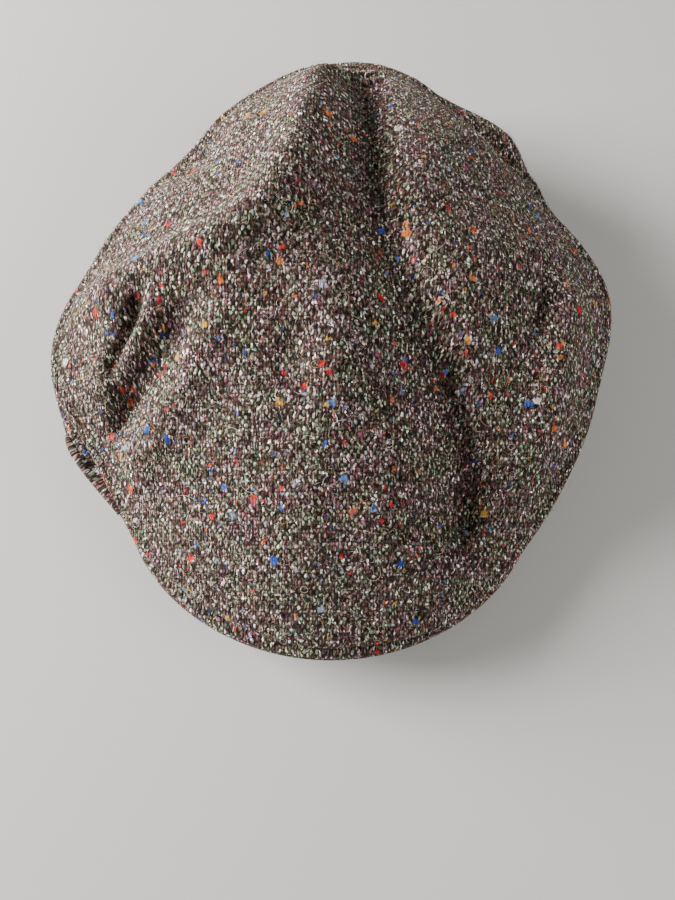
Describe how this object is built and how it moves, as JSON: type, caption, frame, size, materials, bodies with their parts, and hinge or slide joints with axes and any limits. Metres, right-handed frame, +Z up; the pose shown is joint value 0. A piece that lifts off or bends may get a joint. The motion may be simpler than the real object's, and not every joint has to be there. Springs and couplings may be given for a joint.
{
  "type": "flat cap",
  "caption": "Soft wool tweed cap with a low padded crown pulled forward over a short stiff peak, held down by a hidden press stud.",
  "frame": {"origin": "midway along and across the cap, on the plane that its sweatband rim stands on", "axes": "+Z up, the wearer faces -Y, +X is the wearer's left"},
  "size_m": [0.2672, 0.292, 0.093],
  "materials": {
    "tweed": "brown wool tweed, matt",
    "satin": "dark brown quilted satin lining",
    "wadding": "white needled wadding",
    "band_leather": "dark brown sheepskin",
    "binding": "dark brown ribbed ribbon",
    "tape": "black cotton twill",
    "thread": "brown polyester sewing thread",
    "label": "plain cream damask, no text",
    "board": "moulded polyethylene",
    "stud": "antiqued"
  },
  "bodies": {
    "crown": {"top_panel": "tweed", "left_side_panel": "tweed", "right_side_panel": "tweed", "front_facing": "tweed", "crown_wadding": "wadding", "left_side_wadding": "wadding", "right_side_wadding": "wadding", "lining_top": "satin", "left_side_lining": "satin", "right_side_lining": "satin", "lining_label": "label", "sweatband": "band_leather", "rim_binding": "binding", "head_tape": "tape", "sweatband_stitching": "thread", "stud_socket": "stud", "socket_rivet": "stud"},
    "peak": {"peak_under_cover": "tweed", "peak_board": "board", "peak_wadding": "wadding", "peak_top_cover": "tweed", "stud_ball": "stud", "ball_rivet": "stud"}
  },
  "joints": [
    {"name": "peak_lift", "type": "hinge", "parent": "crown", "child": "peak", "pos_m": [0, -0.051, 0.018], "axis": [1, 0, 0], "range_deg": [0, 8]}
  ]
}
